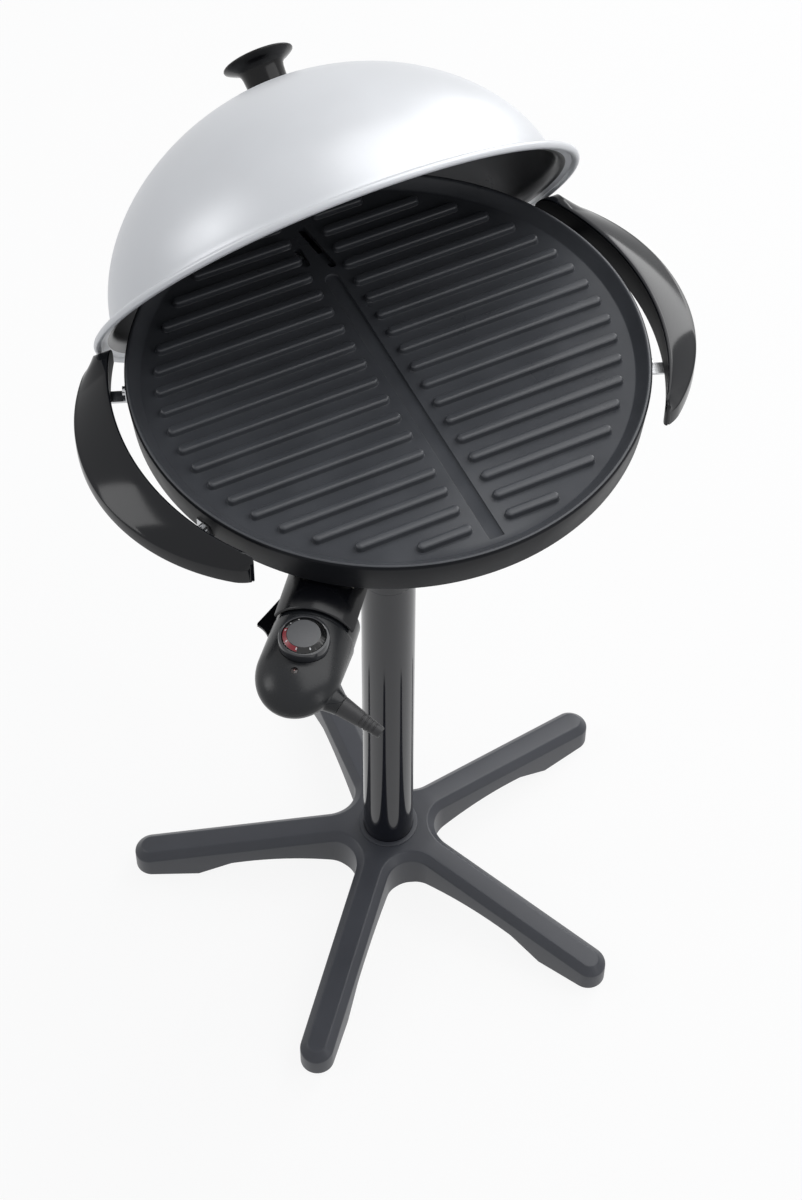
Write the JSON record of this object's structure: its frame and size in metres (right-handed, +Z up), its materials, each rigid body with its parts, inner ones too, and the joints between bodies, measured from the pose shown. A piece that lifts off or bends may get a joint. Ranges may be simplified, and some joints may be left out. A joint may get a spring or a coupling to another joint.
{
  "type": "electric stand grill with lid",
  "caption": "Round electric grill on a pole with a five-legged base, with a ribbed plate, side handles, plug-in thermostat and a domed lid that leans open.",
  "frame": {"origin": "on the floor under the pole's axis", "axes": "+Z up along the pole, +Y to the back where the open lid leans, +X to the right; the user stands at -Y"},
  "size_m": [0.54, 0.561, 1.01],
  "materials": {
    "star_plastic": "fine textured, matt",
    "rubber": "matt",
    "pole_paint": "gloss black enamel",
    "steel": "zinc plated",
    "black_plastic": "satin",
    "housing_paint": "heat-resistant black paint over drawn aluminium sheet",
    "tray_metal": "pressed sheet",
    "nonstick": "non-stick coating over cast aluminium, soft sheen",
    "element_steel": "sheathed element, heat tinted",
    "ceramic": "insulating block",
    "nickel": "nickel plated",
    "handle_plastic": "gloss black",
    "lid_metal": "satin lacquer outside, dark inside",
    "knob_plastic": "gloss black",
    "washer_metal": "satin",
    "brass": "plain",
    "dial_plastic": "dark dial with white and red printed marks",
    "ring_clear": "clear ring",
    "lens_red": "indicator lens"
  },
  "bodies": {
    "stand": {"base_star": "star_plastic", "foot_pads": "rubber", "pole_lower": "pole_paint", "pole_upper": "pole_paint", "pole_sleeve": "steel", "pole_plug": "steel", "base_bolt": "steel", "base_washer": "steel"},
    "head": {"pole_socket": "black_plastic", "socket_screws": "steel", "housing": "housing_paint"},
    "drip_tray": {"drip_tray": "tray_metal"},
    "plate": {"grill_plate": "nonstick", "heating_element": "element_steel", "terminal_block": "ceramic", "terminal_pins": "nickel", "socket_shroud": "handle_plastic", "block_screws": "steel", "handle_left": "handle_plastic", "handle_right": "handle_plastic", "handle_straps": "steel", "handle_screws": "steel"},
    "lid": {"lid_shell": "lid_metal", "lid_knob": "knob_plastic", "knob_washer": "washer_metal", "knob_screw": "steel"},
    "thermostat": {"thermostat_top": "black_plastic", "thermostat_bottom": "black_plastic", "contact_sleeves": "brass", "probe_rod": "nickel", "switch_block": "ceramic", "dial_ring": "ring_clear", "indicator_lens": "lens_red", "strain_relief": "rubber", "thermostat_screws": "steel"},
    "dial": {"dial_knob": "dial_plastic", "dial_shaft": "steel"}
  },
  "joints": [
    {"name": "head_lift", "type": "slide", "parent": "stand", "child": "head", "axis": [0, 0, 1], "range_m": [0, 0.075]},
    {"name": "tray_slide", "type": "slide", "parent": "head", "child": "drip_tray", "axis": [0, 1, 0], "range_m": [0, 0.03]},
    {"name": "plate_lift", "type": "slide", "parent": "head", "child": "plate", "axis": [0, 0, 1], "range_m": [0, 0.045]},
    {"name": "lid_hinge", "type": "hinge", "parent": "plate", "child": "lid", "pos_m": [0, 0.101, 0.7714], "axis": [-1, 0, 0], "range_deg": [-59.7, 0]},
    {"name": "thermostat_pull", "type": "slide", "parent": "plate", "child": "thermostat", "axis": [-0.6428, -0.766, 0], "range_m": [0, 0.08]},
    {"name": "dial_turn", "type": "hinge", "parent": "thermostat", "child": "dial", "pos_m": [-0.17259, -0.20568, 0.7443], "axis": [0, 0, 1], "range_deg": [-270, 0]}
  ]
}
